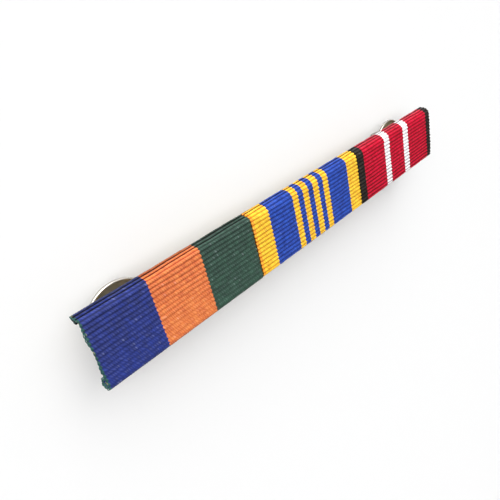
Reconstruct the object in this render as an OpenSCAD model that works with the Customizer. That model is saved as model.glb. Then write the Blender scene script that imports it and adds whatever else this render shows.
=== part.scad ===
// Medal ribbon bar: three ribbed ribbons wound side by side on a thin brass channel,
// worn on two pins, each held by a butterfly clutch. It lies on its back on the clutch wings.
// Millimetres. +X runs along the bar, +Y to its top edge, +Z out of its face.
// The origin is on the surface it lies on, below the middle of the bar.

/* [Ribbons] */
// Width of one ribbon, measured along the bar
ribbon_w = 32; // [26:0.5:38]
// Thickness of a ribbon at the crest of a rib
ribbon_t = 0.5; // [0.4:0.02:0.6]
// Spacing of the ribs
rib_pitch = 0.78; // [0.6:0.02:1.2]
// Depth of the groove between two ribs
rib_relief = 0.18; // [0.06:0.01:0.2]
// Gap between one ribbon and the next
ribbon_gap = 0.08; // [0.04:0.01:0.2]

/* [Bar] */
// Height of the bar over the ribbons
bar_h = 12.43; // [11:0.1:15]
// Depth of the bar at its top edge
top_depth = 2.92; // [2.8:0.05:3.6]
// Depth of the bar at its bottom edge
bottom_depth = 2.5; // [2.4:0.05:3.4]
// Outward lean of the top band, in degrees
top_lean = 9; // [0:0.5:12]
// Radius of the top front edge on the left ribbon
sharp_edge_r = 0.7; // [0.7:0.05:1.6]
// Radius of the top front edge on the other two ribbons
soft_edge_r = 1.7; // [1.2:0.05:1.8]
// Radius of the bottom front edge
bottom_edge_r = 0.8; // [0.7:0.05:1.1]
// Extra height of the looser fold at the bottom edge
fold_slack = 0.3; // [0:0.05:0.5]
// Clearance between a ribbon's tucked end and the channel's top bend
tail_clear = 0.15; // [0.1:0.05:0.25]

/* [Brass channel] */
// Sheet thickness of the channel
brass_t = 0.4; // [0.3:0.02:0.5]
// How far the channel stops short of each end of the bar
end_inset = 0.2; // [0.1:0.1:2]
// Smallest inner radius of the channel's bends
bend_r = 0.15; // [0.05:0.05:0.3]
// Gap between the channel and the ribbons wound on it
piece_gap = 0.05; // [0.03:0.01:0.08]

/* [Pins] */
// Distance of the left pin from the bar's left end
pin_inset_left = 7.63; // [6.5:0.01:12]
// Distance of the right pin from the bar's right end
pin_inset_right = 10.6; // [6.5:0.1:14]
// Height of the pins over the middle of the bar
pin_rise = 0.11; // [-1:0.01:1]
// Radius of a pin
pin_r = 0.55; // [0.45:0.01:0.65]
// Radius of a pin's flat head, soldered to the web
head_r = 2.3; // [1.6:0.1:2.8]
// Thickness of the head
head_t = 0.35; // [0.25:0.05:0.5]
// Height of the fillet between head and pin
root_h = 0.3; // [0.2:0.05:0.5]
// Radius at the foot of that fillet
root_r = 0.9; // [0.8:0.05:1.2]
// Radius of the catch groove round a pin
groove_r = 0.35; // [0.25:0.01:0.36]
// How far the groove runs past each side of the clutch plate
groove_over = 0.16; // [0.1:0.01:0.2]
// Length of a pin behind the clutch dome, with its point
pin_proud = 0.9; // [0.7:0.05:1.2]
// Length of the point
point_l = 0.7; // [0.5:0.05:0.8]
// Radius at the end of the point
point_r = 0.12; // [0.05:0.01:0.25]

/* [Clutches] */
// Space for cloth between the bar and the clutch rim
cloth_gap = 2.08; // [1:0.02:4]
// Radius of a clutch
clutch_r = 5.85; // [5:0.05:6.4]
// Width of the curled rim
rim_w = 0.4; // [0.35:0.01:0.55]
// How far the plate lies behind the rim's front
plate_drop = 0.3; // [0.3:0.05:0.8]
// Thickness of the plate
plate_t = 0.3; // [0.3:0.02:0.5]
// Radius of the dome behind the plate
dome_r = 1.8; // [1.7:0.05:1.95]
// Wall of the dome
dome_wall = 0.3; // [0.25:0.01:0.4]
// Depth of the dome behind the plate
dome_h = 1.8; // [1.7:0.05:2.1]
// Radius of the dome's rounded edge
dome_edge_r = 0.35; // [0.2:0.05:0.4]
// Running clearance of a pin in the clutch, on the radius
pin_clear = 0.07; // [0.04:0.01:0.1]
// Turn of the right clutch about its pin, in degrees
right_turn = -4; // [-20:1:20]

/* [Wings] */
// Depth of a wing behind the dome's end
wing_reach = 2; // [1.5:0.1:2.4]
// Distance from the pin's axis to a wing's tip
wing_spread = 2.6; // [2.5:0.05:3.2]
// Outward lean of a wing, in degrees
wing_lean = 5; // [2:0.5:6]
// Width of a wing
wing_w = 4.2; // [3.4:0.1:5]
// Width of the tongue that passes into the dome
tongue_w = 2.2; // [1.8:0.1:2.3]
// Sheet thickness of a wing
wing_t = 0.35; // [0.25:0.01:0.4]
// Radius of the bend between tongue and wing
wing_bend_r = 0.6; // [0.5:0.05:0.7]
// Radius of a wing's corners
wing_corner_r = 0.8; // [0.4:0.05:1]
// Clearance round a tongue in its window
window_clear = 0.2; // [0.15:0.01:0.25]
// Height of the dome's wall left between the plate and a window
window_drop = 0.25; // [0.2:0.01:0.35]
// Clearance between a tongue's end and the pin
grip_clear = 0.2; // [0.15:0.01:0.25]

/* [Hidden] */
$fn = 64;
eps = 0.05;

// Names for the two values of a leg of a path: its length, and its turning radius or 0
LENGTH = 0;
RADIUS = 1;

ribbon_count = 3;
bar_l = ribbon_count * ribbon_w;
arc_steps = 8;
// Shares of a rib's width at which its round crest is drawn, from the groove before it
rib_shares = [0, 0.12, 0.28, 0.5, 0.72, 0.88];

// Depths below the ribbon crests of the channel's two surfaces
channel_out = ribbon_t + piece_gap;
channel_in = channel_out + brass_t;
// The channel's bends clear the inside of every ribbon's front edges
channel_top_r = max(soft_edge_r, sharp_edge_r, channel_in + bend_r);
channel_bottom_r = max(bottom_edge_r, channel_in + bend_r);
// Radii of the folds that carry a ribbon over the channel's back edges
top_fold_r = ribbon_t + piece_gap + brass_t / 2;
bottom_fold_r = top_fold_r + fold_slack / 2;

// Heights over the surface that the part lies on
plate_back_z = dome_h + wing_reach;
plate_front_z = plate_back_z + plate_t;
rim_front_z = plate_front_z + plate_drop;
face_z = rim_front_z + cloth_gap + top_depth;
web_back_z = face_z - channel_in;
dome_end_z = wing_reach;
pin_tip_z = dome_end_z - pin_proud;

left_x = pin_inset_left - bar_l / 2;
right_x = bar_l / 2 - pin_inset_right;
hole_r = pin_r + pin_clear;

// Where a wing turns: in the middle of the dome's wall, halfway down the tongue's window
hinge_y = dome_r - dome_wall / 2;
hinge_z = plate_back_z - window_drop - window_clear - wing_t / 2;

// The place and heading [y, z, angle] after s millimetres of a leg, turning clockwise
function step(state, leg, s) =
    let (r = leg[RADIUS], h = state[2], a = r > 0 ? s / r * 180 / PI : 0)
    r > 0
        ? [state.x + r * (sin(h) - sin(h - a)), state.y + r * (cos(h - a) - cos(h)), h - a]
        : [state.x + s * cos(h), state.y + s * sin(h), h];

// The place and heading s millimetres along a path of legs
function at(legs, state, s, i = 0) =
    i == len(legs) - 1 || s <= legs[i][LENGTH]
        ? step(state, legs[i], s)
        : at(legs, step(state, legs[i], legs[i][LENGTH]), s - legs[i][LENGTH], i + 1);

// The point d millimetres to the inner side of a place on the path
function inward(state, d) = [state.x + d * sin(state[2]), state.y - d * cos(state[2])];

function length_to(legs, n) = n == 0 ? 0 : legs[n - 1][LENGTH] + length_to(legs, n - 1);

// Distances along a path that its plain surfaces need: each leg's start, and steps round each arc
function stops(legs) = concat(
    [for (i = [0 : len(legs) - 1])
        let (n = legs[i][RADIUS] > 0 ? arc_steps : 1)
        for (k = [0 : n - 1]) length_to(legs, i) + legs[i][LENGTH] * k / n],
    [length_to(legs, len(legs))]
);

// How far a rib's surface lies below its crest, at a share u of the rib's width
function rib_depth(u) = rib_relief * (1 - sin(180 * u));

// Arc that turns the path by the given angle
function turn(r, angle) = [r * angle * PI / 180, r];
function straight(l) = [l, 0];

// Length of the straight part of the leaning top band, behind a front edge of radius r
function band_l(r) =
    (top_depth - r * (1 - sin(top_lean)) - top_fold_r * (1 + sin(top_lean))) / cos(top_lean);

// Legs round the bar from the bottom fold to the top fold, for front edges of the given radii.
// The last leg leans outwards, and the face's length brings the highest crest to bar_h.
function wrap_legs(top_r, bottom_r) =
    let (
        band = band_l(top_r),
        face_top = bar_h - top_r * cos(top_lean) - band * sin(top_lean) - top_fold_r * (1 - cos(top_lean))
    )
    [
        straight(bottom_depth - bottom_fold_r - bottom_r),
        turn(bottom_r, 90),
        straight(face_top - bottom_r),
        turn(top_r, 90 - top_lean),
        straight(band)
    ];
wrap_start = [0, bottom_fold_r - bottom_depth, 90];

// The same legs with both folds and the tucked ends, which stop short of the channel's bends
bottom_tail = bottom_depth - bottom_fold_r - channel_bottom_r;
top_tail = band_l(channel_top_r) - tail_clear;
function ribbon_legs(r) = concat(
    [straight(bottom_tail), turn(bottom_fold_r, 180)],
    wrap_legs(r, bottom_edge_r),
    [turn(top_fold_r, 180), straight(top_tail)]
);
ribbon_start = [2 * bottom_fold_r, wrap_start.y + bottom_tail, -90];

// Stands a cross-section drawn in [y, z] up and draws it out along X
module along_bar(x0, x1) {
    translate([x0, -bar_h / 2, face_z])
        rotate([90, 0, 90])
            linear_extrude(x1 - x0)
                children();
}

// Cross-section of a ribbon: ribbed outside, plain inside
module ribbon_section(edge_r) {
    legs = ribbon_legs(edge_r);
    run = length_to(legs, len(legs));
    ribs = round(run / rib_pitch);
    pitch = run / ribs;
    outside = concat(
        [for (k = [0 : ribs - 1], u = rib_shares)
            inward(at(legs, ribbon_start, (k + u) * pitch), rib_depth(u))],
        [inward(at(legs, ribbon_start, run), rib_relief)]
    );
    inner_stops = stops(legs);
    inside = [for (i = [len(inner_stops) - 1 : -1 : 0])
        inward(at(legs, ribbon_start, inner_stops[i]), ribbon_t)];
    polygon(concat(outside, inside));
}

// The ribbon at a place counted from the left
module ribbon(place, edge_r) {
    x0 = place * ribbon_w - bar_l / 2 + (place > 0 ? ribbon_gap / 2 : 0);
    x1 = (place + 1) * ribbon_w - bar_l / 2 - (place < ribbon_count - 1 ? ribbon_gap / 2 : 0);
    along_bar(x0, x1)
        ribbon_section(edge_r);
}

// Cross-section of the channel: web, bottom flange and leaning top flange in one sheet
module channel_section() {
    legs = wrap_legs(channel_top_r, channel_bottom_r);
    line = stops(legs);
    outer = [for (s = line) inward(at(legs, wrap_start, s), channel_out)];
    inner = [for (i = [len(line) - 1 : -1 : 0]) inward(at(legs, wrap_start, line[i]), channel_in)];
    polygon(concat(outer, inner));
}

// A pin with its soldered head, root fillet, catch groove and point
module garment_pin() {
    groove_z0 = plate_back_z - groove_over;
    groove_z1 = plate_front_z + groove_over;
    head_z = web_back_z - head_t;
    translate([0, 0, head_z])
        cylinder(h = head_t + brass_t / 2, r = head_r);
    translate([0, 0, head_z - root_h])
        cylinder(h = root_h, r1 = pin_r, r2 = root_r);
    difference() {
        translate([0, 0, pin_tip_z + point_l])
            cylinder(h = head_z + eps - pin_tip_z - point_l, r = pin_r);
        translate([0, 0, groove_z0])
            difference() {
                cylinder(h = groove_z1 - groove_z0, r = pin_r + eps);
                translate([0, 0, -eps])
                    cylinder(h = groove_z1 - groove_z0 + 2 * eps, r = groove_r);
            }
    }
    translate([0, 0, pin_tip_z])
        cylinder(h = point_l, r1 = point_r, r2 = pin_r);
}

// Half section [radius, z] of a clutch's curled rim and plate
module plate_section() {
    bead_r = rim_w / 2;
    translate([hole_r, plate_back_z])
        square([clutch_r - bead_r - hole_r, plate_t]);
    translate([clutch_r - rim_w, plate_back_z + bead_r])
        square([rim_w, rim_front_z - plate_back_z - rim_w]);
    for (z = [plate_back_z + bead_r, rim_front_z - bead_r])
        translate([clutch_r - bead_r, z])
            circle(r = bead_r);
}

// Half section of the dome: wall, rounded edge and end
module dome_section() {
    translate([dome_r - dome_wall, dome_end_z + dome_edge_r])
        square([dome_wall, plate_back_z - dome_end_z - dome_edge_r + eps]);
    translate([hole_r, dome_end_z])
        square([dome_r - dome_edge_r - hole_r, dome_wall]);
    difference() {
        translate([dome_r - dome_edge_r, dome_end_z + dome_edge_r])
            circle(r = dome_edge_r);
        translate([0, dome_end_z + dome_edge_r + eps])
            square([dome_r, dome_r]);
    }
}

// A clutch's cap: plate, rim and dome in one piece, with a window for each wing's tongue
module clutch_cap() {
    window_h = wing_t + 2 * window_clear;
    window_w = tongue_w + 2 * window_clear;
    difference() {
        rotate_extrude() {
            plate_section();
            dome_section();
        }
        translate([-window_w / 2, -dome_r - eps, hinge_z - window_h / 2])
            cube([window_w, 2 * (dome_r + eps), window_h]);
    }
}

// Front view [x, z] of a wing: narrow tongue above, wide plate with round corners below
module wing_outline() {
    shoulder_z = hinge_z - wing_t / 2 - wing_bend_r;
    r = min(wing_corner_r, shoulder_z / 2 - eps);
    translate([-tongue_w / 2, shoulder_z - r])
        square([tongue_w, hinge_z + wing_t - shoulder_z + r]);
    translate([-wing_w / 2, r])
        square([wing_w, shoulder_z - 2 * r]);
    for (z = [0, shoulder_z - r])
        translate([r - wing_w / 2, z])
            square([wing_w - 2 * r, r]);
    for (x = [r - wing_w / 2, wing_w / 2 - r], z = [r, shoulder_z - r])
        translate([x, z])
            circle(r = r);
}

// Side view [y, z] of a wing: the sheet's path from the tongue's end, round the bend, to the tip
module wing_profile() {
    start_y = pin_r + grip_clear;
    drop = hinge_z - wing_bend_r * (1 - sin(wing_lean));
    stem = drop / cos(wing_lean);
    tongue = wing_spread - stem * sin(wing_lean) - wing_bend_r * cos(wing_lean) - start_y;
    legs = [straight(tongue), turn(wing_bend_r, 90 - wing_lean), straight(stem + wing_t)];
    start = [start_y, hinge_z, 0];
    line = stops(legs);
    polygon(concat(
        [for (s = line) inward(at(legs, start, s), -wing_t / 2)],
        [for (i = [len(line) - 1 : -1 : 0]) inward(at(legs, start, line[i]), wing_t / 2)]
    ));
}

// One wing, standing off the pin's axis towards +Y
module wing() {
    intersection() {
        translate([-wing_w / 2 - eps, 0, 0])
            rotate([90, 0, 90])
                linear_extrude(wing_w + 2 * eps)
                    wing_profile();
        translate([0, wing_spread + wing_w, 0])
            rotate([90, 0, 0])
                linear_extrude(wing_spread + wing_w)
                    wing_outline();
    }
}

module at_left_pin() {
    translate([left_x, pin_rise, 0])
        children();
}

module at_right_pin() {
    translate([right_x, pin_rise, 0])
        rotate([0, 0, right_turn])
            children();
}

module backing_bar() {
    color("#b59a5a") {
        along_bar(end_inset - bar_l / 2, bar_l / 2 - end_inset)
            channel_section();
        for (x = [left_x, right_x])
            translate([x, pin_rise, 0])
                garment_pin();
    }
}

module ribbon_left() { color("#2a3478") ribbon(0, sharp_edge_r); }
module ribbon_middle() { color("#fbc926") ribbon(1, soft_edge_r); }
module ribbon_right() { color("#c41230") ribbon(2, soft_edge_r); }

module clutch_cap_left() { color("#c9c9c6") at_left_pin() clutch_cap(); }
module clutch_cap_right() { color("#c9c9c6") at_right_pin() clutch_cap(); }

module wing_upper_left() { color("#bdbdb9") at_left_pin() wing(); }
module wing_lower_left() { color("#bdbdb9") at_left_pin() rotate([0, 0, 180]) wing(); }
module wing_upper_right() { color("#bdbdb9") at_right_pin() wing(); }
module wing_lower_right() { color("#bdbdb9") at_right_pin() rotate([0, 0, 180]) wing(); }

backing_bar();
ribbon_left();
ribbon_middle();
ribbon_right();
clutch_cap_left();
clutch_cap_right();
wing_upper_left();
wing_lower_left();
wing_upper_right();
wing_lower_right();
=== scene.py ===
"""Medal ribbon bar: woven ribbons, butterfly clutches, a brass channel and a studio round a fixed frame."""

import math
from collections import namedtuple

import bpy
import numpy as np
from bpy.props import FloatProperty, FloatVectorProperty, PointerProperty
from mathutils import Euler, Matrix, Vector


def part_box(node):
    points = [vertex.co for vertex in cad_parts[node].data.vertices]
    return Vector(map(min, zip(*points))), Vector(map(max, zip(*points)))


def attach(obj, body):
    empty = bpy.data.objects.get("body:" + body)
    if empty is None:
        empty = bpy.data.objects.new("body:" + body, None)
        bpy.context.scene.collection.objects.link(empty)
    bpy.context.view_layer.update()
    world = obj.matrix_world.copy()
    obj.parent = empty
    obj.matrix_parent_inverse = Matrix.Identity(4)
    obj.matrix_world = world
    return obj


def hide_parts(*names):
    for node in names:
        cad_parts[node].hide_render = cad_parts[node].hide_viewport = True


bl_info = {
    "name": "Medal ribbon bar",
    "version": (1, 0, 0),
    "blender": (4, 5, 0),
    "location": "3D View > Sidebar > Ribbon Bar",
    "description": "Dresses a medal ribbon bar: woven ribbons, nickel clutches, brass channel and a studio",
    "category": "Object",
}

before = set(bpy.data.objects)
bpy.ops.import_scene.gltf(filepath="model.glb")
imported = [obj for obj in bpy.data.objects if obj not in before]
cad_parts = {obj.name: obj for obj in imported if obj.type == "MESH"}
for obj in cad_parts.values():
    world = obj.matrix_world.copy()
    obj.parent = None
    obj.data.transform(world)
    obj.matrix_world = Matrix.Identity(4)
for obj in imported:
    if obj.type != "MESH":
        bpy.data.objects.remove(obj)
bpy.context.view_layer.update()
MM = 0.001
TOP_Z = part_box("ribbon_left")[1].z


def linear(hex_colour):
    """An sRGB hex value as linear light."""
    levels = [int(hex_colour[i : i + 2], 16) / 255 for i in (1, 3, 5)]
    return (*[v / 12.92 if v <= 0.04045 else ((v + 0.055) / 1.055) ** 2.4 for v in levels], 1.0)


def colour(label, hex_colour, about):
    """A colour setting."""
    return FloatVectorProperty(
        name=label, description=about, default=linear(hex_colour), size=4, min=0, max=1, subtype="COLOR"
    )


def length(label, value_mm, about):
    """A size setting, given in millimetres."""
    return FloatProperty(name=label, description=about, default=value_mm * MM, unit="LENGTH", precision=5)


def share(label, value, about):
    """A setting between nothing and all."""
    return FloatProperty(name=label, description=about, default=value, min=0, max=1, subtype="FACTOR")


def strength(label, value, about):
    """A setting for how strong a light is."""
    return FloatProperty(name=label, description=about, default=value, min=0)


def angle(label, degrees, about):
    """An angle setting, given in degrees."""
    return FloatProperty(name=label, description=about, default=math.radians(degrees), subtype="ANGLE")


def direction(label, value, about):
    """A setting for where a light comes from."""
    return FloatVectorProperty(name=label, description=about, default=value, subtype="XYZ")


class RibbonBarWeave(bpy.types.PropertyGroup):
    """Sizes of the wound ribbons and their threads."""

    thickness: length("Ribbon thickness", 0.5, "Thickness of a ribbon at the crest of a rib")
    rib_pitch: length("Rib pitch", 0.78, "Spacing of the weft ribs")
    rib_relief: length("Rib relief", 0.18, "Depth of the groove between two ribs")
    rib_wobble: length("Rib wobble", 0.05, "How far a rib strays from a straight line")
    thread_pitch: length("Thread pitch", 0.4, "Spacing of the warp threads that show on one rib")
    thread_relief: length("Thread relief", 0.08, "Depth between two warp threads at a rib's crest")
    unevenness: length("Unevenness", 0.06, "How much lower the slack threads lie")
    stripe_bulge: length("Stripe bulge", 0.12, "How far the lighter colour stands out over a crest")
    selvage_thread: length("Selvage thread", 0.17, "Thickness of the loose weft at the left selvage")
    gloss: share("Gloss", 0.1, "Strength of the threads' reflection")


class RibbonBarColours(bpy.types.PropertyGroup):
    """Dyes of the threads and colours of the metals, with some colours of painted shade and painted sheen
    among them.
    """

    navy: colour("Navy", "#13297f", "Navy third of the left ribbon")
    orange: colour("Orange", "#e27d3b", "Orange third of the left ribbon")
    green: colour("Dark green", "#294b39", "Dark green third of the left ribbon")
    teal: colour("Teal weft", "#1d524c", "Weft that shows at the left ribbon's edge")
    cream: colour("Cream weft", "#b9ad8a", "Undyed weft that shows in places at the left ribbon's edge")
    yellow: colour("Yellow", "#f8cb2b", "Yellow of the middle ribbon")
    # Painted shade where the middle ribbon's left selvage rounds away, given as a deeper yellow
    shaded_yellow: colour("Shaded yellow", "#f7ad24", "Deeper yellow at the middle ribbon's left selvage")
    blue: colour("Blue", "#1d49b0", "Blue of the middle ribbon")
    black: colour("Black", "#2f2720", "Black edges of the right ribbon")
    red: colour("Red", "#cf0733", "Red of the right ribbon")
    white: colour("White", "#fcf9fa", "White stripes of the right ribbon")
    # Colour of the painted highlights on the crests and of the pale painted reflection on the face
    lint: colour("Lint", "#edf3ff", "Pale fibre and dust caught on the weave")
    nickel: colour("Nickel", "#e4e0d8", "Polished nickel plate of the clutches")
    # Painted shade and painted dark reflection on the clutches' rim sides, creases and sunk plates
    shaded_nickel: colour("Shaded nickel", "#b0aca0", "Dull plate of the clutches below their polished rims")
    spring: colour("Spring nickel", "#a8a298", "Duller nickel plate of the clutch wings")
    brass: colour("Brass", "#d6c28a", "Rolled brass sheet of the channel")
    floor: colour("Floor", "#f3f3f3", "Pale paper sweep under the part")


class RibbonBarStage(bpy.types.PropertyGroup):
    """Light of the studio."""

    key_power: strength("Key light", 4.42, "Strength of the key light behind the bar")
    key_size: angle("Key size", 90, "Width of the key light as an angle")
    key_from: direction("Key from", (-0.38, 0.74, 0.56), "Direction that the key light comes from")
    fill_power: strength("Fill light", 0.45, "Strength of the weak light beyond the bar's right end")
    fill_size: angle("Fill size", 55, "Width of the fill light as an angle")
    fill_from: direction("Fill from", (0.5, 0.72, 0.48), "Direction that the fill light comes from")
    sky: strength("Sky", 0.34, "Strength of the white surround overhead")
    horizon: strength("Horizon", 0.1, "Strength of the dim surround at floor level")


class RibbonBar(bpy.types.PropertyGroup):
    """All settings of the ribbon bar."""

    weave: PointerProperty(type=RibbonBarWeave)
    colours: PointerProperty(type=RibbonBarColours)
    stage: PointerProperty(type=RibbonBarStage)


# Form of the wound ribbons, in millimetres

BAR_H = 12.43
TOP_DEPTH = 2.92
BOTTOM_DEPTH = 2.5
TOP_LEAN = math.radians(9)
SHARP_EDGE_R = 0.7
SOFT_EDGE_R = 1.7
BOTTOM_EDGE_R = 0.8
TOP_FOLD_R = 0.75
BOTTOM_FOLD_R = 0.9
CHANNEL_TOP_R = 1.7
CHANNEL_BOTTOM_R = 1.1
TAIL_CLEAR = 0.15
# Width over which a ribbon thins out towards its selvage
THIN_W = 0.6

# How a ribbon is drawn: shares of a rib's width, columns of points across a thread, and angles round the
# half circle of a selvage
RIB_SHARES = (0, 0.07, 0.18, 0.33, 0.5, 0.67, 0.82, 0.93)
COLUMNS_PER_THREAD = 4
CAP_ANGLES = np.radians([60, 30, 0, -30, -60])
# Rows of the fine tables of a winding and of a selvage's wave, and of the window that rounds the wave
WINDING_ROWS = 1200
WAVE_ROWS = 400
WAVE_WINDOW = 15

# How the threads stray. A thread leans over THREAD_LEAN others while it crosses one rib, because of its
# twist, and drifts by a share of a thread. The lengths are those over which the drift, the slackness and the
# ribs' wobble change, and WOBBLE_RIBS is the number of ribs over which the wobble does.
THREAD_LEAN = 1.0
THREAD_DRIFT = 0.3
DRIFT_MM = 0.9
SLACK_MM = 1.3
WOBBLE_MM = 4
WOBBLE_RIBS = 2
# Every other rib has its threads moved on by this share of one
THREAD_STEP = 0.5
# How much more of its relief than of the painted shade in its grooves a slack face keeps
RELIEF_KEPT = 0.15
# Share of its loose thread's slow wave that a selvage follows
WAVE_FOLLOWED = 0.7

# A ribbon's woven edge: depth of the scallops between its loops, thickness, how far single loops stray
# inwards, and its slow wave, as (share of the way up the face, millimetres outwards) pairs
Selvage = namedtuple("Selvage", "scallop thick stray wave", defaults=(((0, 0),),))

# How the threads look: strength of the painted shade in the grooves at the bottom and the top of the bar,
# height on a rib that a groove's painted shade reaches (1 is the crest), brightness of the painted highlight
# on the crests that are stretched over the top edge, painted gleam of the crests, painted sparkle of single
# threads, darkness of the painted shade in the lines between threads, unevenness from thread to thread,
# height on a rib up to which a stretched groove is fully dark with painted shade, and the pale haze of
# painted reflection on the face
Yarn = namedtuple("Yarn", "slack taut width shine glint sparkle line vary open haze")

# One ribbon of the bar: its CAD node and material slot, the seed of its stray threads, the radius of its top
# front edge, its stripes by their left edges in millimetres from its left selvage, its two selvages, its
# yarn, and the weft that shows bare in places
Ribbon = namedtuple("Ribbon", "node slot seed edge_r stripes left right yarn fleck")

PLAIN_SELVAGE = Selvage(scallop=0.16, thick=0.4, stray=0.05)
TOOTHED_SELVAGE = Selvage(scallop=0.34, thick=0.4, stray=0.05)
FINE_SELVAGE = Selvage(
    scallop=0.1,
    thick=0.36,
    stray=0.05,
    wave=((-0.3, -0.35), (0, -0.4), (0.08, -0.2), (0.18, 0), (1, 0)),
)
WORN_SELVAGE = Selvage(
    scallop=0.04,
    thick=0.3,
    stray=0.12,
    wave=(
        (-0.45, 0.1),
        (-0.25, 0.2),
        (-0.1, 0.2),
        (0, 0),
        (0.14, 0.06),
        (0.27, 0.22),
        (0.4, 0.06),
        (0.52, 0.0),
        (0.63, 0.06),
        (0.72, 0.24),
        (0.82, 0.24),
        (0.93, 0.1),
        (1.02, 0.05),
        (1.15, 0.2),
        (1.3, 0.1),
    ),
)

RIBBONS = (
    Ribbon(
        node="ribbon_left",
        slot="ribbon_navy_orange_green",
        seed=7,
        edge_r=SHARP_EDGE_R,
        stripes=((0, "teal"), (0.2, "navy"), (10.64, "orange"), (20.54, "green")),
        left=WORN_SELVAGE,
        right=PLAIN_SELVAGE,
        yarn=Yarn(
            slack=0.2,
            taut=1.08,
            width=1.05,
            shine=1.05,
            glint=0.03,
            sparkle=0.1,
            line=0.4,
            vary=0.2,
            open=0.3,
            haze=0.024,
        ),
        fleck="cream",
    ),
    Ribbon(
        node="ribbon_middle",
        slot="ribbon_yellow_blue",
        seed=8,
        edge_r=SOFT_EDGE_R,
        stripes=(
            # Its first 0.6 mm are painted shade where the selvage rounds away
            (0, "shaded_yellow"),
            (0.6, "yellow"),
            (4.31, "blue"),
            (10.81, "yellow"),
            (12.33, "blue"),
            (13.81, "yellow"),
            (15.35, "blue"),
            (16.84, "yellow"),
            (18.41, "blue"),
            (19.89, "yellow"),
            (21.46, "blue"),
            (27.97, "yellow"),
        ),
        left=PLAIN_SELVAGE,
        right=TOOTHED_SELVAGE,
        yarn=Yarn(
            slack=1.0,
            taut=1.1,
            width=1.0,
            shine=1.02,
            glint=0.02,
            sparkle=0.05,
            line=0.4,
            vary=0.22,
            open=0.3,
            haze=0.018,
        ),
        fleck=None,
    ),
    Ribbon(
        node="ribbon_right",
        slot="ribbon_red_white_black",
        seed=9,
        edge_r=SOFT_EDGE_R,
        stripes=(
            (0, "black"),
            (2.29, "red"),
            (10.64, "white"),
            (12.72, "red"),
            (18.83, "white"),
            (21.01, "red"),
            (29.8, "black"),
        ),
        left=PLAIN_SELVAGE,
        right=FINE_SELVAGE,
        yarn=Yarn(
            slack=1.65,
            taut=1.12,
            width=1.08,
            shine=0.92,
            glint=0.015,
            sparkle=0.04,
            line=0.4,
            vary=0.24,
            open=0.25,
            haze=0.004,
        ),
        fleck=None,
    ),
)

# A ribbon's way round the bar: its length and number of ribs, a fine table of its crest line, and the numbers
# of the ribs at the bottom of the face, where the top edge begins to stretch them, and on the band above it
Winding = namedtuple("Winding", "run ribs at y z heading bottom edge top")

# Place of the face among a winding's legs, share of the top edge's round at which the ribs begin to stretch,
# and distance past that edge at which they are fully open
FACE_LEG = 4
EDGE_SHARE = 1 / 3
ONTO_BAND = 0.4


def straight(run):
    """A straight leg of a winding."""
    return (run, 0.0)


def turn(radius, by):
    """A leg of a winding that turns by an angle."""
    return (radius * by, radius)


def band_length(radius):
    """Length of the straight part of the leaning top band behind a front edge of that radius."""
    room = TOP_DEPTH - radius * (1 - math.sin(TOP_LEAN)) - TOP_FOLD_R * (1 + math.sin(TOP_LEAN))
    return room / math.cos(TOP_LEAN)


def wound_path(edge_r):
    """Legs of a ribbon's crest line from one tucked end round the bar to the other, and its start."""
    bottom_tail = BOTTOM_DEPTH - BOTTOM_FOLD_R - CHANNEL_BOTTOM_R
    band = band_length(edge_r)
    fold_rise = TOP_FOLD_R * (1 - math.cos(TOP_LEAN))
    face_top = BAR_H - edge_r * math.cos(TOP_LEAN) - band * math.sin(TOP_LEAN) - fold_rise
    legs = [
        straight(bottom_tail),
        turn(BOTTOM_FOLD_R, math.pi),
        straight(BOTTOM_DEPTH - BOTTOM_FOLD_R - BOTTOM_EDGE_R),
        turn(BOTTOM_EDGE_R, math.pi / 2),
        straight(face_top - BOTTOM_EDGE_R),
        turn(edge_r, math.pi / 2 - TOP_LEAN),
        straight(band),
        turn(TOP_FOLD_R, math.pi),
        straight(band_length(CHANNEL_TOP_R) - TAIL_CLEAR),
    ]
    return legs, (2 * BOTTOM_FOLD_R, BOTTOM_FOLD_R - BOTTOM_DEPTH + bottom_tail, -math.pi / 2)


def place_on(legs, start, run):
    """(y, z, heading) that many millimetres along the legs, turning clockwise."""
    y, z, heading = start
    for number, (leg, radius) in enumerate(legs):
        s = run if number == len(legs) - 1 else min(run, leg)
        if radius:
            turned = heading - s / radius
            y += radius * (math.sin(heading) - math.sin(turned))
            z += radius * (math.cos(turned) - math.cos(heading))
            heading = turned
        else:
            y += s * math.cos(heading)
            z += s * math.sin(heading)
        run -= s
        if run <= 0:
            break
    return y, z, heading


def wind(edge_r, rib_pitch):
    """A ribbon's winding, with the whole number of ribs that comes nearest to their pitch."""
    legs, start = wound_path(edge_r)
    lengths = [leg for leg, _ in legs]
    run = sum(lengths)
    ribs = round(run / rib_pitch)
    at = np.linspace(0, run, WINDING_ROWS)
    y, z, heading = np.array([place_on(legs, start, s) for s in at]).T
    bottom = sum(lengths[:FACE_LEG])
    edge = bottom + lengths[FACE_LEG] + lengths[FACE_LEG + 1] * EDGE_SHARE
    top = sum(lengths[: FACE_LEG + 2]) + ONTO_BAND
    return Winding(run, ribs, at, y, z, heading, *(ribs * s / run for s in (bottom, edge, top)))


def lay(winding, x, s, depth):
    """Points in metres at x along the bar, s along the wound ribbon and a depth below its crests."""
    heading = np.interp(s, winding.at, winding.heading)
    y = np.interp(s, winding.at, winding.y) + depth * np.sin(heading) - BAR_H / 2
    z = np.interp(s, winding.at, winding.z) - depth * np.cos(heading)
    return np.stack([x * MM, y * MM, z * MM + TOP_Z], axis=-1)


def wave_at(edge, winding, rib_at):
    """How far outwards a selvage's slow wave lies at each rib."""
    shares, outwards = zip(*edge.wave)
    marks = winding.bottom + np.array(shares) * (winding.edge - winding.bottom)
    fine = np.linspace(0, winding.ribs, WAVE_ROWS)
    window = np.hanning(WAVE_WINDOW)[1:-1]
    padded = np.pad(np.interp(fine, marks, outwards), len(window) // 2, "edge")
    rounded = np.convolve(padded, window / window.sum(), "valid")
    return np.interp(rib_at, fine, rounded)


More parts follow.
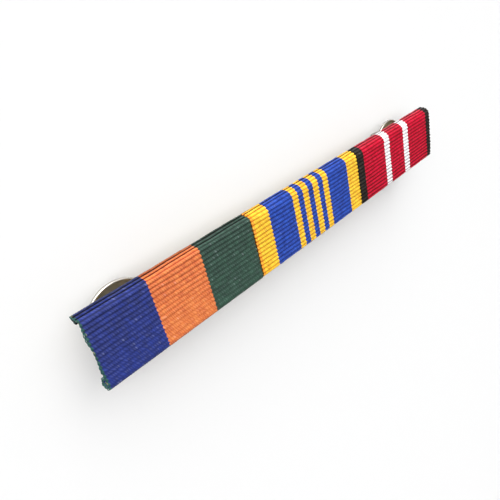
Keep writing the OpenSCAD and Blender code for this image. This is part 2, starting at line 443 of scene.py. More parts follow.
def smooth_field(rng, rows, columns):
    """Random heights of about unit size at rows × columns, which change over one unit of each."""
    knots = rng.normal(size=(int(rows.max()) + 2, int(columns.max()) + 2))
    r, c = rows.astype(int), columns.astype(int)
    u, v = rows - r, columns - c
    u, v = (u * u * (3 - 2 * u))[:, None], (v * v * (3 - 2 * v))[None, :]
    near = knots[r][:, c] * (1 - v) + knots[r][:, c + 1] * v
    far = knots[r + 1][:, c] * (1 - v) + knots[r + 1][:, c + 1] * v
    return near * (1 - u) + far * u


def tube_mesh(name, points, facts):
    """A closed mesh round rings of points, flat at both ends, with the weave's facts at each point."""
    grid = np.arange(points.shape[0] * points.shape[1]).reshape(points.shape[:2])
    a, b = grid[:-1], grid[1:]
    quads = np.stack([b, np.roll(b, -1, 1), np.roll(a, -1, 1), a], axis=-1).reshape(-1, 4)
    mesh = bpy.data.meshes.new(name)
    ends = [grid[0].tolist(), grid[-1][::-1].tolist()]
    mesh.from_pydata(points.reshape(-1, 3).tolist(), [], [*quads.tolist(), *ends])
    mesh.validate()
    mesh.polygons.foreach_set("use_smooth", [True] * (len(mesh.polygons) - 2) + [False] * 2)
    mark = mesh.attributes.new("weave", "FLOAT_VECTOR", "POINT")
    mark.data.foreach_set("vector", facts.astype(np.float32).ravel())
    mesh.update()
    piece = bpy.data.objects.new(name, mesh)
    bpy.context.scene.collection.objects.link(piece)
    return piece


def weave_ribbon(ribbon, winding, weave):
    """A wound ribbon as one closed mesh: ribs, warp threads, selvages with loops, plain inner side."""
    lo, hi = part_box(ribbon.node)
    x0, x1 = lo.x / MM, hi.x / MM
    thick, relief, thread_mm = weave.thickness / MM, weave.rib_relief / MM, weave.thread_pitch / MM
    ribs = winding.ribs
    rng = np.random.RandomState(ribbon.seed)

    rib_at = np.array([k + u for k in range(ribs) for u in RIB_SHARES] + [float(ribs)])
    rib_no = np.minimum(rib_at.astype(int), ribs - 1)
    rib_share = rib_at - rib_no
    crest = np.sin(np.pi * rib_share)
    columns = round((x1 - x0) * COLUMNS_PER_THREAD / thread_mm)
    along = np.linspace(0, x1 - x0, columns)

    # The woven side: threads that lean across each rib, slack in places, on ribs that are not quite straight
    thread = along / thread_mm + THREAD_DRIFT * smooth_field(rng, rib_no, along / DRIFT_MM)
    thread = thread + (THREAD_STEP * (rib_no % 2) + THREAD_LEAN * rib_share)[:, None]
    between = 0.5 + 0.5 * np.cos(2 * np.pi * thread)
    slack = np.clip(0.5 + 0.5 * smooth_field(rng, rib_no, along / SLACK_MM), 0, 1)
    sink = weave.thread_relief / MM * between + weave.unevenness / MM * slack
    easing = [min(1, ribbon.yarn.slack + RELIEF_KEPT), 1]
    ease = np.interp(rib_at, [winding.bottom, winding.edge], easing)
    depth = (relief * (1 - crest) * ease)[:, None] + sink * crest[:, None]
    held = np.minimum(1, np.minimum(rib_at, ribs - rib_at))
    wobble = smooth_field(rng, rib_at / WOBBLE_RIBS, along / WOBBLE_MM) * held[:, None]
    place = rib_at[:, None] * winding.run / ribs + weave.rib_wobble / MM * wobble

    def selvage(edge, column):
        """Rows of a selvage: how far it lies inside the full width, its middle depth and its radius."""
        strays = edge.stray * rng.uniform(size=ribs + 1)
        inset = edge.scallop * (1 - crest) + np.interp(rib_at, np.arange(ribs + 1), strays)
        inset = inset - WAVE_FOLLOWED * wave_at(edge, winding, rib_at)
        middle = (edge.thick + depth[:, column]) / 2
        return inset[:, None], middle[:, None], middle[:, None] - depth[:, [column]]

    inset_l, middle_l, radius_l = selvage(ribbon.left, 0)
    inset_r, middle_r, radius_r = selvage(ribbon.right, -1)
    left, right = x0 + radius_l + inset_l, x1 - radius_r - inset_r
    woven_x = left + (right - left) * np.linspace(0, 1, columns)[None, :]
    cap = np.cos(CAP_ANGLES)
    inner_x = [right, right - THIN_W, left + THIN_W, left]
    x = np.concatenate([woven_x, right + radius_r * cap, *inner_x, left - radius_l * cap], axis=1)
    cap = np.sin(CAP_ANGLES)
    flat = np.ones_like(inset_l)
    inner_d = [flat * ribbon.right.thick, flat * thick, flat * thick, flat * ribbon.left.thick]
    d = np.concatenate([depth, middle_r - radius_r * cap, *inner_d, middle_l + radius_l * cap], axis=1)
    # Points beyond the woven side share the place and the thread of the selvage that they are nearer to
    around = len(CAP_ANGLES) + len(inner_x) // 2
    column_of = np.array([*range(columns), *[columns - 1] * around, *[0] * around])
    facts = np.stack([x - x0, np.broadcast_to(rib_at[:, None], x.shape), thread[:, column_of]], axis=-1)
    return tube_mesh("woven_" + ribbon.node, lay(winding, x, place[:, column_of], d), facts)


def spin_selvage_thread(name, ribbon, winding, weave):
    """The weft that runs along a worn selvage: two strands twisted, looping out where it is slack."""
    radius = weave.selvage_thread / MM / 2
    # The thread starts some ribs before the face and ends some ribs behind the top edge, in rings of points
    turns_per_rib = 1.5
    ribs_below, ribs_behind = 4, 3
    ring_spacing, ring_points = 0.1, 8
    waist = 0.15
    loop_mm = 0.04
    inset_mm, depth_mm = 0.08, 0.16
    x0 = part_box(ribbon.node)[0].x / MM
    rib_at = np.arange(winding.bottom - ribs_below, winding.top + ribs_behind, ring_spacing)[:, None]
    around = np.linspace(0, 2 * math.pi, ring_points, endpoint=False)[None, :]
    twist = 2 * math.pi * turns_per_rib * rib_at
    strands = radius * (1 - waist + waist * np.cos(2 * around - twist))
    outwards = wave_at(ribbon.left, winding, rib_at) + loop_mm * np.sin(2 * math.pi * rib_at)
    x = x0 + inset_mm - outwards - strands * np.cos(around)
    depth = depth_mm + strands * np.sin(around)
    facts = np.stack([x * 0, x * 0 + rib_at, x * 0 + (2 * around - twist) / (2 * math.pi)], axis=-1)
    return tube_mesh(name, lay(winding, x, rib_at * winding.run / winding.ribs, depth), facts)


# Finishes

# How much red, green and blue add to the brightness of a colour
BRIGHTNESS_SHARES = (0.21, 0.72, 0.07)
# The part of a noise's range that nearly all of it keeps to
NOISE_MIDDLE = {"From Min": 0.3, "From Max": 0.7}


def add_node(tree, kind, inputs=None, **settings):
    """Adds a node with its settings, and fills its inputs with values or links."""
    node = tree.nodes.new(kind)
    for key, value in settings.items():
        setattr(node, key, value)
    for key, value in (inputs or {}).items():
        if isinstance(value, bpy.types.NodeSocket):
            tree.links.new(value, node.inputs[key])
        else:
            node.inputs[key].default_value = value
    return node


def new_material(name):
    """An empty node material and its tree."""
    material = bpy.data.materials.new(name)
    material.use_nodes = True
    material.node_tree.nodes.clear()
    return material, material.node_tree


def finish_material(tree, shader):
    """Puts a shader on the surface."""
    add_node(tree, "ShaderNodeOutputMaterial", {"Surface": shader.outputs["BSDF"]})


def brightness(tint):
    """How bright a colour looks."""
    return sum(part * level for part, level in zip(BRIGHTNESS_SHARES, tint))


def spread(by):
    """Output range from that much less to that much more than 1."""
    return {"To Min": 1 - by, "To Max": 1 + by}


def stretching(marks, winding):
    """Input range over which the ribs are stretched round the top edge."""
    return {"Value": marks.rib, "From Min": winding.edge, "From Max": winding.top}


# Sockets that say where a point lies in the weave: millimetres along the bar, place among the ribs, share of
# the way over its rib, height on the rib and on its thread, three chances drawn for each crossing, and noise
# in streaks of a rib and in wide clouds
Marks = namedtuple("Marks", "along rib rib_share crest body chances streak cloud")


def read_rounds(tree, count):
    """Whole number of a running count, share past it, and height on the round between two wholes."""
    whole = add_node(tree, "ShaderNodeMath", {0: count}, operation="FLOOR").outputs[0]
    past = add_node(tree, "ShaderNodeMath", {0: count}, operation="FRACT").outputs[0]
    turned = add_node(tree, "ShaderNodeMath", {0: past, 1: math.pi}, operation="MULTIPLY").outputs[0]
    height = add_node(tree, "ShaderNodeMath", {0: turned}, operation="SINE").outputs[0]
    return whole, past, height


def read_weave(tree, draw):
    """The weave's coordinates and patterns. Ribbons with another number to draw with get other chances."""
    row_mm = 7.3
    streak_mm = 5 / 6
    cloud_mm = 2.5
    at = add_node(tree, "ShaderNodeAttribute", attribute_name="weave")
    split = add_node(tree, "ShaderNodeSeparateXYZ", {"Vector": at.outputs["Vector"]})
    along, rib, thread = split.outputs["X"], split.outputs["Y"], split.outputs["Z"]
    rib_no, rib_share, crest = read_rounds(tree, rib)
    thread_no, _, body = read_rounds(tree, thread)
    cell = add_node(tree, "ShaderNodeCombineXYZ", {"X": thread_no, "Y": rib_no, "Z": float(draw)}).outputs[0]
    lots = add_node(tree, "ShaderNodeTexWhiteNoise", {"Vector": cell}, noise_dimensions="3D").outputs["Color"]
    chances = add_node(tree, "ShaderNodeSeparateColor", {0: lots}).outputs
    # Each rib reads its own row of the streaks, far enough from the next one's
    row = add_node(tree, "ShaderNodeMath", {0: rib_no, 1: row_mm}, operation="MULTIPLY").outputs[0]
    run = add_node(tree, "ShaderNodeCombineXYZ", {"X": along, "Y": row, "Z": float(draw)}).outputs[0]
    streaks = {"Vector": run, "Scale": 1 / streak_mm, "Detail": 1.0}
    streak = add_node(tree, "ShaderNodeTexNoise", streaks).outputs[0]
    wide = add_node(tree, "ShaderNodeCombineXYZ", {"X": along, "Y": rib, "Z": float(draw)}).outputs[0]
    clouds = {"Vector": wide, "Scale": 1 / cloud_mm, "Detail": 2.0}
    cloud = add_node(tree, "ShaderNodeTexNoise", clouds).outputs[0]
    return Marks(along, rib, rib_share, crest, body, chances, streak, cloud)


def dye_stripes(tree, marks, stripes, bulge_mm, fleck):
    """The warp's colours. Stripe edges lean with the threads, and the lighter colour is fuller on a crest."""
    lean_mm = 0.16
    jitter_mm = 0.06
    bare = {"From Min": 0.62, "From Max": 0.68}
    leaning = {0: marks.rib_share, 1: lean_mm, 2: marks.along}
    leant = add_node(tree, "ShaderNodeMath", leaning, operation="MULTIPLY_ADD").outputs[0]
    straying = {0: marks.chances[2], 1: jitter_mm, 2: leant}
    loose = add_node(tree, "ShaderNodeMath", straying, operation="MULTIPLY_ADD").outputs[0]
    shade = stripes[0][1]
    if fleck:
        shown = add_node(tree, "ShaderNodeMapRange", {"Value": marks.streak, **bare}).outputs[0]
        shade = add_node(tree, "ShaderNodeMix", {0: shown, 6: shade, 7: fleck}, data_type="RGBA").outputs[2]
    for (_, before), (edge, tint) in zip(stripes, stripes[1:]):
        side = bulge_mm if brightness(tint) > brightness(before) else -bulge_mm
        bulging = {0: marks.crest, 1: side, 2: loose}
        bulged = add_node(tree, "ShaderNodeMath", bulging, operation="MULTIPLY_ADD").outputs[0]
        edge_at = edge + (side + lean_mm + jitter_mm) / 2
        past = add_node(tree, "ShaderNodeMath", {0: bulged, 1: edge_at}, operation="GREATER_THAN").outputs[0]
        shade = add_node(tree, "ShaderNodeMix", {0: past, 6: shade, 7: tint}, data_type="RGBA").outputs[2]
    return shade


def light_threads(tree, marks, yarn, winding):
    """How much painted light each point of the weave gets: painted shade in the grooves and between threads,
    and uneven tone from thread to thread.
    """
    # Share of a groove's painted shade on the face and where it is stretched, height on a thread that the
    # painted dark lines beside it reach, and difference between the wide clouds
    groove_dims = {"To Min": 0.6, "To Max": 0.9}
    line_reach = 0.8
    cloudiness = 0.05
    upwards = {"Value": marks.rib, "From Min": winding.bottom, "From Max": winding.top}
    deepening = {**upwards, "To Min": yarn.slack, "To Max": yarn.taut}
    depth = add_node(tree, "ShaderNodeMapRange", deepening).outputs[0]
    stretch = stretching(marks, winding)
    opened = add_node(tree, "ShaderNodeMapRange", {**stretch, "To Max": yarn.open}).outputs[0]
    dim = add_node(tree, "ShaderNodeMapRange", {**stretch, **groove_dims}).outputs[0]
    sides = {"Value": marks.crest, "From Min": opened, "From Max": yarn.width, "To Min": 1.0, "To Max": 0.0}
    groove = add_node(tree, "ShaderNodeMapRange", sides, interpolation_type="SMOOTHSTEP").outputs[0]
    groove = add_node(tree, "ShaderNodeMath", {0: groove, 1: depth}, operation="MULTIPLY").outputs[0]
    hidden = add_node(tree, "ShaderNodeMath", {0: groove, 1: dim}, operation="MULTIPLY").outputs[0]
    # Painted shade in the dark lines between threads
    lines = {"Value": marks.body, "From Max": line_reach, "To Min": 1.0 - yarn.line, "To Max": 1.0}
    lined = add_node(tree, "ShaderNodeMapRange", lines, interpolation_type="SMOOTHSTEP").outputs[0]
    seen = add_node(tree, "ShaderNodeMath", {0: 1.0, 1: hidden}, operation="SUBTRACT").outputs[0]
    crossings = {"Value": marks.chances[0], **spread(yarn.vary)}
    uneven = add_node(tree, "ShaderNodeMapRange", crossings).outputs[0]
    streaks = {"Value": marks.streak, **NOISE_MIDDLE, **spread(yarn.vary)}
    streak = add_node(tree, "ShaderNodeMapRange", streaks).outputs[0]
    clouds = {"Value": marks.cloud, **NOISE_MIDDLE, **spread(cloudiness)}
    cloud = add_node(tree, "ShaderNodeMapRange", clouds).outputs[0]
    for part in (lined, uneven, streak, cloud):
        seen = add_node(tree, "ShaderNodeMath", {0: seen, 1: part}, operation="MULTIPLY").outputs[0]
    return seen


def shade_weave(tree, marks, dye, yarn, winding):
    """The dye with painted shade in its grooves and in the lines between threads, its uneven threads, and a
    painted highlight on its stretched crests.

    A groove sees less of the sky, and the light that bounces about in it takes up the dye again, so dark and
    strong dyes deepen there while pale ones stay light; all of this is painted into the colour. The fold at
    the far side of the band turns away from the light and gets painted shade."""
    # Share of the hidden light that bounces back, ribs over which the band folds away and how bright its
    # painted shade leaves it there, and the palest that cloth gets
    bounced_share = 0.85
    fold_ribs = {"From Min": winding.top - 0.4, "From Max": winding.top + 1.6}
    fold_shine = 0.4
    whitest = (0.96, 0.96, 0.96)
    seen = light_threads(tree, marks, yarn, winding)
    unseen = add_node(tree, "ShaderNodeMath", {0: 1.0, 1: seen}, operation="SUBTRACT").outputs[0]
    bounces = {0: unseen, 1: bounced_share}
    returned = add_node(tree, "ShaderNodeMath", bounces, operation="MULTIPLY").outputs[0]
    direct = add_node(tree, "ShaderNodeVectorMath", {0: dye, "Scale": seen}, operation="SCALE").outputs[0]
    kept = add_node(tree, "ShaderNodeVectorMath", {0: dye, "Scale": returned}, operation="SCALE").outputs[0]
    lost = add_node(tree, "ShaderNodeVectorMath", {0: (1, 1, 1), 1: kept}, operation="SUBTRACT").outputs[0]
    bounced = add_node(tree, "ShaderNodeVectorMath", {0: direct, 1: lost}, operation="DIVIDE").outputs[0]
    # Painted highlight on the crests stretched over the top edge, and painted shade on the fold behind the
    # band
    stretched = {**stretching(marks, winding), "To Min": 1.0, "To Max": yarn.shine}
    shine = add_node(tree, "ShaderNodeMapRange", stretched).outputs[0]
    folding = {"Value": marks.rib, **fold_ribs, "To Min": 1.0, "To Max": fold_shine}
    turned = add_node(tree, "ShaderNodeMapRange", folding).outputs[0]
    shine = add_node(tree, "ShaderNodeMath", {0: shine, 1: turned}, operation="MULTIPLY").outputs[0]
    lit = add_node(tree, "ShaderNodeVectorMath", {0: bounced, "Scale": shine}, operation="SCALE").outputs[0]
    return add_node(tree, "ShaderNodeVectorMath", {0: lit, 1: whitest}, operation="MINIMUM").outputs[0]


def add_painted_sheen(tree, marks, shade, yarn, winding, lint):
    """Painted reflection and painted highlights: a pale haze on the face that fades out where the ribs are
    stretched, a gleam along the crests, and a sparkle on single threads.
    """
    # How closely the painted gleam keeps to the crests, its strength where they are stretched, its difference
    # from crossing to crossing, and the share of crossings that have no painted sparkle
    narrowing = 3.0
    taut_glint = 0.06
    glint_spread = 0.6
    plain_share = 0.965
    crest = add_node(tree, "ShaderNodeMath", {0: marks.crest, 1: narrowing}, operation="POWER").outputs[0]
    peak = add_node(tree, "ShaderNodeMath", {0: crest, 1: marks.body}, operation="MULTIPLY").outputs[0]
    stretch = stretching(marks, winding)
    gleams = {**stretch, "To Min": yarn.glint, "To Max": taut_glint}
    gleam = add_node(tree, "ShaderNodeMapRange", gleams).outputs[0]
    crossings = {"Value": marks.chances[1], **spread(glint_spread)}
    chosen = add_node(tree, "ShaderNodeMapRange", crossings).outputs[0]
    rare = {"Value": marks.chances[1], "From Min": plain_share, "To Max": yarn.sparkle}
    sparkle = add_node(tree, "ShaderNodeMapRange", rare).outputs[0]
    glints = {0: gleam, 1: chosen, 2: sparkle}
    both = add_node(tree, "ShaderNodeMath", glints, operation="MULTIPLY_ADD").outputs[0]
    # Painted reflection: a pale haze on the face, gone where the ribs are stretched
    haze = add_node(tree, "ShaderNodeMapRange", {**stretch, "To Min": yarn.haze, "To Max": 0.0}).outputs[0]
    pale = add_node(tree, "ShaderNodeMath", {0: peak, 1: both, 2: haze}, operation="MULTIPLY_ADD").outputs[0]
    added = add_node(tree, "ShaderNodeVectorMath", {0: lint[:3], "Scale": pale}, operation="SCALE").outputs[0]
    return add_node(tree, "ShaderNodeVectorMath", {0: shade, 1: added}, operation="ADD").outputs[0]


def woven_rayon(name, ribbon, winding, weave, colours):
    """Warp-faced ribbed rayon: twisted satin threads over cotton ribs.

    The eye sees soft gloss along each crest, dark grooves, short leaning strokes where each thread crosses a
    rib, single bright filaments, and stripe edges that step with the ribs. The gloss along the crests is
    partly the shader's own and partly painted highlight, the bright filaments and a pale haze on the face are
    painted highlights and painted reflection, and the dark grooves and the lines between threads are painted
    shade. The threads are stretched over the bar's top edge, so the grooves open there and the crests get a
    brighter painted highlight. The threads are drawn about twice as coarse as they are, because the real ones
    are too fine to show."""
    thread_round_mm = 0.04
    material, tree = new_material(name)
    marks = read_weave(tree, len(ribbon.stripes))
    dyes = [(edge, tuple(getattr(colours, dye))) for edge, dye in ribbon.stripes]
    fleck = tuple(getattr(colours, ribbon.fleck)) if ribbon.fleck else None
    dye = dye_stripes(tree, marks, dyes, weave.stripe_bulge / MM, fleck)
    shade = shade_weave(tree, marks, dye, ribbon.yarn, winding)
    shade = add_painted_sheen(tree, marks, shade, ribbon.yarn, winding, tuple(colours.lint))
    rounding = {"Height": marks.body, "Distance": thread_round_mm * MM, "Strength": 0.7}
    bump = add_node(tree, "ShaderNodeBump", rounding)
    satin = {
        "Base Color": shade,
        "Roughness": 0.42,
        "Specular IOR Level": weave.gloss,
        "Sheen Weight": 0.01,
        "Sheen Roughness": 0.4,
        "Normal": bump.outputs["Normal"],
    }
    finish_material(tree, add_node(tree, "ShaderNodeBsdfPrincipled", satin))
    return material


def twisted_cotton(name, tint):
    """Matt cotton thread of two strands: painted shade between the strands and painted light on their rounds,
    with a little change of dye along it.
    """
    material, tree = new_material(name)
    marks = read_weave(tree, 0)
    # Painted shade between the strands, and painted light up to a quarter brighter on each round
    rounds = {"Value": marks.body, "To Min": 0.45, "To Max": 1.25}
    strand = add_node(tree, "ShaderNodeMapRange", rounds).outputs[0]
    patchy = {"Value": marks.cloud, "From Min": 0.35, "From Max": 0.65, "To Min": 0.7, "To Max": 1.4}
    patches = add_node(tree, "ShaderNodeMapRange", patchy).outputs[0]
    light = add_node(tree, "ShaderNodeMath", {0: strand, 1: patches}, operation="MULTIPLY").outputs[0]
    dyed = {0: tint[:3], "Scale": light}
    shade = add_node(tree, "ShaderNodeVectorMath", dyed, operation="SCALE").outputs[0]
    matt = {"Base Color": shade, "Roughness": 0.7, "Specular IOR Level": 0.2, "Sheen Weight": 0.1}
    finish_material(tree, add_node(tree, "ShaderNodeBsdfPrincipled", matt))
    return material


def nickel_plate(name, tint, dullness):
    """Nickel plate on stamped spring sheet: blurred reflections, a little uneven with polishing marks."""
    mark_mm, mark_depth_mm = 1.11, 0.002
    smoothest, roughest = 0.8, 1.4
    material, tree = new_material(name)
    at = add_node(tree, "ShaderNodeTexCoord").outputs["Object"]
    polishing = {"Vector": at, "Scale": 1 / (mark_mm * MM), "Detail": 3.0}
    marks = add_node(tree, "ShaderNodeTexNoise", polishing).outputs[0]
    dulling = {"Value": marks, "To Min": dullness * smoothest, "To Max": dullness * roughest}
    rough = add_node(tree, "ShaderNodeMapRange", dulling).outputs[0]
    scratches = {"Height": marks, "Distance": mark_depth_mm * MM, "Strength": 0.4}
    bump = add_node(tree, "ShaderNodeBump", scratches)
    metal = {"Base Color": tint, "Metallic": 1.0, "Roughness": rough, "Normal": bump.outputs["Normal"]}
    finish_material(tree, add_node(tree, "ShaderNodeBsdfPrincipled", metal))
    return material


def nickel_polished_rim_painted_shade(name, tint, shaded_nickel, crown_z):
    """Nickel plate that is bright and smooth on the crown of the curled rim, and rougher below it. The rim's
    side, the crease inside it and the sunk plate get painted shade: a darker, brownish colour that stands in
    for their darker reflections."""
    bright_mm, dull_mm = 0.16, 0.24
    stain_mm, stain_depth_mm, staining = 2.0, 0.003, 0.25
    material, tree = new_material(name)
    at = add_node(tree, "ShaderNodeTexCoord").outputs["Object"]
    height = add_node(tree, "ShaderNodeSeparateXYZ", {"Vector": at}).outputs["Z"]
    # Painted shade: below the rim's crown the colour turns to the shaded nickel, and the roughness rises
    crown_heights = {"Value": height, "From Min": crown_z - dull_mm * MM, "From Max": crown_z - bright_mm * MM}
    lit_and_polished = add_node(tree, "ShaderNodeMapRange", crown_heights).outputs[0]
    clouding = {"Vector": at, "Scale": 1 / (stain_mm * MM), "Detail": 3.0}
    stains = add_node(tree, "ShaderNodeTexNoise", clouding).outputs[0]
    shade = add_node(tree, "ShaderNodeMapRange", {"Value": stains, **spread(staining)}).outputs[0]
    stained = {0: shaded_nickel[:3], "Scale": shade}
    dull = add_node(tree, "ShaderNodeVectorMath", stained, operation="SCALE").outputs[0]
    metal = add_node(tree, "ShaderNodeMix", {0: lit_and_polished, 6: dull, 7: tint}, data_type="RGBA").outputs[2]
    rough = add_node(tree, "ShaderNodeMapRange", {"Value": lit_and_polished, "To Min": 0.5, "To Max": 0.3}).outputs[0]
    pits = {"Height": stains, "Distance": stain_depth_mm * MM, "Strength": 0.4}
    bump = add_node(tree, "ShaderNodeBump", pits)
    surface = {"Base Color": metal, "Metallic": 1.0, "Roughness": rough, "Normal": bump.outputs["Normal"]}
    finish_material(tree, add_node(tree, "ShaderNodeBsdfPrincipled", surface))
    return material


def rolled_brass(name, tint):
    """Satin brass sheet as it comes from the mill: fine lines along the bar and a little dulling."""
    line_mm, line_depth_mm = 0.25, 0.004
    drawn_out = (0.05, 1.0, 1.0)
    stain_mm = 3.33
    material, tree = new_material(name)
    at = add_node(tree, "ShaderNodeTexCoord").outputs["Object"]
    stretch = add_node(tree, "ShaderNodeMapping", {"Vector": at, "Scale": drawn_out}).outputs[0]
    rolling = {"Vector": stretch, "Scale": 1 / (line_mm * MM), "Detail": 2.0}
    lines = add_node(tree, "ShaderNodeTexNoise", rolling).outputs[0]
    dulling = {"Vector": at, "Scale": 1 / (stain_mm * MM), "Detail": 4.0}
    dull = add_node(tree, "ShaderNodeTexNoise", dulling).outputs[0]
    shade = add_node(tree, "ShaderNodeMapRange", {"Value": dull, "To Min": 0.75, "To Max": 1.1}).outputs[0]
    stained = {0: tint[:3], "Scale": shade}
    metal = add_node(tree, "ShaderNodeVectorMath", stained, operation="SCALE").outputs[0]
    rolled = {"Height": lines, "Distance": line_depth_mm * MM, "Strength": 0.5}
    bump = add_node(tree, "ShaderNodeBump", rolled)
    satin = {"Base Color": metal, "Metallic": 1.0, "Roughness": 0.35, "Normal": bump.outputs["Normal"]}
    finish_material(tree, add_node(tree, "ShaderNodeBsdfPrincipled", satin))
    return material


def matt_paper(name, tint):
    """Uncoated white paper: soft and even, with hardly any reflection."""
    material, tree = new_material(name)
    paper = {"Base Color": tint, "Roughness": 0.9, "Specular IOR Level": 0.1}
    finish_material(tree, add_node(tree, "ShaderNodeBsdfPrincipled", paper))
    return material


def dress(node, material):
    """Gives a CAD node its finish."""
    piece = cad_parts[node]
    piece.data.materials.clear()
    piece.data.materials.append(material)


# Stage

# The photo's camera, found from the bar's edges and stripes: lens in millimetres on the usual 36 mm sensor,
# place and nearest distance in metres, and turns about X, Y and Z in degrees
CAMERA_LENS = 33.46
CAMERA_PLACE = (-0.062395, 0.035232, 0.064187)
CAMERA_NEAR = 0.001
CAMERA_TURNS = (-14.245, -44.08, -17.805)
# Half the width of the floor, in metres
FLOOR_HALF = 2.0
# Heights of a direction (0 level, 1 straight up) between which the surround brightens
SKY_RISE = {"From Min": 0.4, "From Max": 0.75}


def place_camera(scene):
    """Stands the camera where the photo was taken."""
    data = bpy.data.cameras.new("Camera")
    data.lens = CAMERA_LENS
    data.clip_start = CAMERA_NEAR
    camera = bpy.data.objects.new("Camera", data)
    scene.collection.objects.link(camera)
    turned = Euler([math.radians(degrees) for degrees in CAMERA_TURNS]).to_matrix().to_4x4()
    camera.matrix_world = Matrix.Translation(CAMERA_PLACE) @ turned
    scene.camera = camera


def lay_floor(scene, material):
    """Lays a wide flat sheet under the part."""
    half = FLOOR_HALF
    corners = [(-half, -half, 0), (half, -half, 0), (half, half, 0), (-half, half, 0)]
    mesh = bpy.data.meshes.new("floor")
    mesh.from_pydata(corners, [], [(0, 1, 2, 3)])
    mesh.materials.append(material)
    floor = bpy.data.objects.new("floor", mesh)
    scene.collection.objects.link(floor)


def hang_surround(scene, sky, horizon):
    """Puts a surround about the scene, white overhead and dim near the floor."""
    world = bpy.data.worlds.new("Studio")
    scene.world = world
    world.use_nodes = True
    tree = world.node_tree
    tree.nodes.clear()
    at = add_node(tree, "ShaderNodeTexCoord").outputs["Generated"]
    height = add_node(tree, "ShaderNodeSeparateXYZ", {"Vector": at}).outputs["Z"]
    rising = {"Value": height, **SKY_RISE, "To Min": horizon, "To Max": sky}
    glow = add_node(tree, "ShaderNodeMapRange", rising).outputs[0]
    white = add_node(tree, "ShaderNodeBackground", {"Color": (1, 1, 1, 1), "Strength": glow})
    add_node(tree, "ShaderNodeOutputWorld", {"Surface": white.outputs[0]})


def hang_lamp(scene, name, power, size, source):
    """Hangs a far lamp of that angular size in a direction."""
    data = bpy.data.lights.new(name, "SUN")
    data.energy = power
    data.angle = size
    lamp = bpy.data.objects.new(name, data)
    lamp.rotation_euler = (-Vector(source)).to_track_quat("-Z", "Y").to_euler()
    scene.collection.objects.link(lamp)


# Operators


class RIBBONBAR_OT_ribbons(bpy.types.Operator):
    """Weaves the three ribbons and winds them on the bar"""

    bl_idname = "ribbon_bar.ribbons"
    bl_label = "Ribbons"

    def execute(self, context):
        settings = context.scene.ribbon_bar
        for ribbon in RIBBONS:
            winding = wind(ribbon.edge_r, settings.weave.rib_pitch / MM)
            piece = weave_ribbon(ribbon, winding, settings.weave)
            name = "Ribbed rayon, " + ribbon.node
            piece.data.materials.append(woven_rayon(name, ribbon, winding, settings.weave, settings.colours))
            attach(piece, "bar")
            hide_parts(ribbon.node)
        return {"FINISHED"}


class RIBBONBAR_OT_selvage(bpy.types.Operator):
    """Twists the loose weft along the left ribbon's worn selvage"""

    bl_idname = "ribbon_bar.selvage"
    bl_label = "Selvage thread"

    def execute(self, context):
        settings = context.scene.ribbon_bar
        ribbon = RIBBONS[0]
        winding = wind(ribbon.edge_r, settings.weave.rib_pitch / MM)
        piece = spin_selvage_thread("selvage_thread", ribbon, winding, settings.weave)
        piece.data.materials.append(twisted_cotton("Cotton weft, teal", tuple(settings.colours.teal)))
        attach(piece, "bar")
        return {"FINISHED"}


class RIBBONBAR_OT_clutches(bpy.types.Operator):
    """Nickel plate for the clutch caps and their wings"""

    bl_idname = "ribbon_bar.clutches"
    bl_label = "Clutches"

    def execute(self, context):
        colours = context.scene.ribbon_bar.colours
        nickel, shaded_nickel = tuple(colours.nickel), tuple(colours.shaded_nickel)
        crown_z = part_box("clutch_cap_left")[1].z
        # Clutch caps with painted shade below their polished rims
        plate = nickel_polished_rim_painted_shade("Nickel plate, polished rim, painted shade", nickel, shaded_nickel, crown_z)
        spring = nickel_plate("Nickel plate, spring sheet", tuple(colours.spring), dullness=0.28)
        for end in ("left", "right"):
            dress("clutch_cap_" + end, plate)
            for side in ("upper", "lower"):
                dress("wing_" + side + "_" + end, spring)
        return {"FINISHED"}


class RIBBONBAR_OT_channel(bpy.types.Operator):
    """Rolled brass for the channel and its pins"""

    bl_idname = "ribbon_bar.channel"
    bl_label = "Brass channel"

    def execute(self, context):
        brass = tuple(context.scene.ribbon_bar.colours.brass)
        dress("backing_bar", rolled_brass("Brass, rolled sheet", brass))
        return {"FINISHED"}


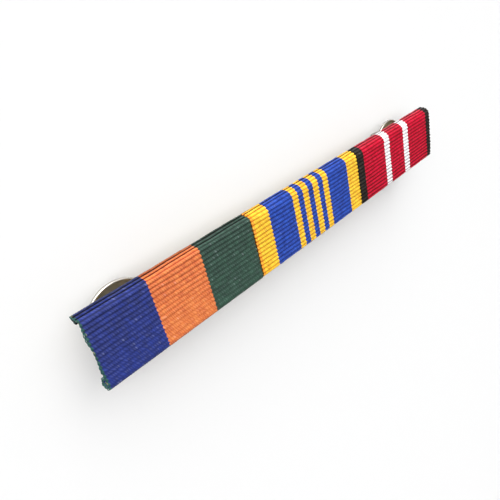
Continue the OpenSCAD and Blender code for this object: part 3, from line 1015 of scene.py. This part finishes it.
class RIBBONBAR_OT_stage(bpy.types.Operator):
    """Camera, pale floor and soft studio light"""

    bl_idname = "ribbon_bar.stage"
    bl_label = "Stage"

    def execute(self, context):
        scene = context.scene
        settings = scene.ribbon_bar
        stage = settings.stage
        place_camera(scene)
        lay_floor(scene, matt_paper("Paper, matt white", tuple(settings.colours.floor)))
        hang_surround(scene, stage.sky, stage.horizon)
        hang_lamp(scene, "Key", stage.key_power, stage.key_size, stage.key_from)
        hang_lamp(scene, "Fill", stage.fill_power, stage.fill_size, stage.fill_from)
        scene.view_settings.view_transform = "Standard"
        return {"FINISHED"}


class VIEW3D_PT_ribbon_bar(bpy.types.Panel):
    """Lists the ribbon bar's steps and settings"""

    bl_label = "Ribbon Bar"
    bl_space_type = "VIEW_3D"
    bl_region_type = "UI"
    bl_category = "Ribbon Bar"

    def draw(self, context):
        for operator in OPERATORS:
            self.layout.operator(operator.bl_idname)
        settings = context.scene.ribbon_bar
        for group in (settings.weave, settings.colours, settings.stage):
            box = self.layout.box()
            for key in group.__annotations__:
                box.prop(group, key)


OPERATORS = (
    RIBBONBAR_OT_stage,
    RIBBONBAR_OT_ribbons,
    RIBBONBAR_OT_selvage,
    RIBBONBAR_OT_clutches,
    RIBBONBAR_OT_channel,
)
CLASSES = (RibbonBarWeave, RibbonBarColours, RibbonBarStage, RibbonBar, *OPERATORS, VIEW3D_PT_ribbon_bar)


def register():
    """Adds the settings, operators and panel to Blender."""
    for item in CLASSES:
        bpy.utils.register_class(item)
    bpy.types.Scene.ribbon_bar = PointerProperty(type=RibbonBar)


def unregister():
    """Takes them out again."""
    del bpy.types.Scene.ribbon_bar
    for item in reversed(CLASSES):
        bpy.utils.unregister_class(item)


def main():
    """Builds the whole scene."""
    register()
    bpy.ops.ribbon_bar.stage()
    bpy.ops.ribbon_bar.ribbons()
    bpy.ops.ribbon_bar.selvage()
    bpy.ops.ribbon_bar.clutches()
    bpy.ops.ribbon_bar.channel()


if __name__ == "__main__":
    main()
